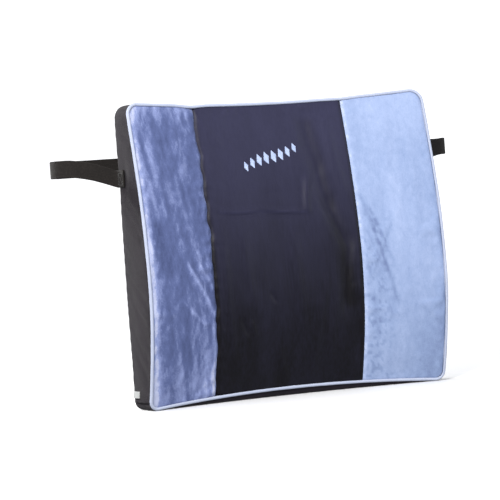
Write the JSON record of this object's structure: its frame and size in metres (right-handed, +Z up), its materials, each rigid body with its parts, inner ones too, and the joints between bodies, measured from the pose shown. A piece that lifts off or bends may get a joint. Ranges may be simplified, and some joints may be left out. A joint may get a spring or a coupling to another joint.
{
  "type": "lumbar back rest",
  "caption": "Crowned foam back rest in a panelled, piped cover with a rear zip, held round a chair back by an elastic strap with a side-release buckle.",
  "frame": {"origin": "middle of the flat base, on the plane it stands on, 15 mm in front of the flat back", "axes": "+X along the strap's run, to the right seen from the front; -Y out of the front; +Z up"},
  "size_m": [0.5138, 0.1404, 0.3512],
  "materials": {
    "foam": "open-cell foam",
    "velour_grey": "brushed velour",
    "satin_navy": "satin weave",
    "velour_blue": "brushed velour",
    "band_cloth": "fine weave",
    "piping": "satin bias strip",
    "cord_filler": "twisted cotton",
    "emblem_thread": "satin stitch",
    "label_ribbon": "ribbon",
    "zip_tape": "knitted tape",
    "zip_coil": "nylon coil",
    "zip_metal": "dull nickel",
    "elastic": "ribbed elastic",
    "thread": "polyester thread",
    "buckle_plastic": "moulded satin"
  },
  "bodies": {
    "cushion": {"foam_core": "foam", "front_panel_left": "velour_grey", "front_panel_centre": "satin_navy", "front_panel_right": "velour_blue", "boxing_band": "band_cloth", "base_band": "band_cloth", "back_panel_upper": "band_cloth", "back_panel_lower": "band_cloth", "front_piping": "piping", "piping_cord": "cord_filler", "emblem": "emblem_thread", "care_label": "label_ribbon", "zip_tape_upper": "zip_tape", "zip_tape_lower": "zip_tape", "zip_coil_upper": "zip_coil", "zip_coil_lower": "zip_coil", "zip_end_stops": "zip_metal", "strap_left": "elastic", "strap_right": "elastic", "anchor_stitch_left": "thread", "anchor_stitch_right": "thread", "fold_stitch": "thread", "buckle_female": "buckle_plastic", "buckle_male": "buckle_plastic"},
    "zip_slider": {"zip_slider": "zip_metal"},
    "zip_pull": {"zip_pull": "zip_metal"},
    "latch_prong_upper": {"latch_prong_upper": "buckle_plastic"},
    "latch_prong_lower": {"latch_prong_lower": "buckle_plastic"},
    "strap_keeper": {"strap_keeper": "buckle_plastic"}
  },
  "joints": [
    {"name": "zip_slide", "type": "slide", "parent": "cushion", "child": "zip_slider", "axis": [1, 0, 0], "range_m": [-0.286, 0]},
    {"name": "zip_pull_swing", "type": "hinge", "parent": "zip_slider", "child": "zip_pull", "pos_m": [0.143, 0.02015, 0.064], "axis": [1, 0, 0], "range_deg": [-6, 175]},
    {"name": "prong_upper_flex", "type": "hinge", "parent": "cushion", "child": "latch_prong_upper", "pos_m": [0.0019, 0.0784, 0.2894], "axis": [0, -1, 0], "range_deg": [0, 8], "stiffness_Nm_per_rad": 0.6},
    {"name": "prong_lower_flex", "type": "hinge", "parent": "cushion", "child": "latch_prong_lower", "pos_m": [0.0019, 0.0784, 0.2746], "axis": [0, 1, 0], "range_deg": [0, 8], "stiffness_Nm_per_rad": 0.6},
    {"name": "keeper_slide", "type": "slide", "parent": "cushion", "child": "strap_keeper", "axis": [1, 0, 0], "range_m": [-0.025, 0.05]}
  ]
}
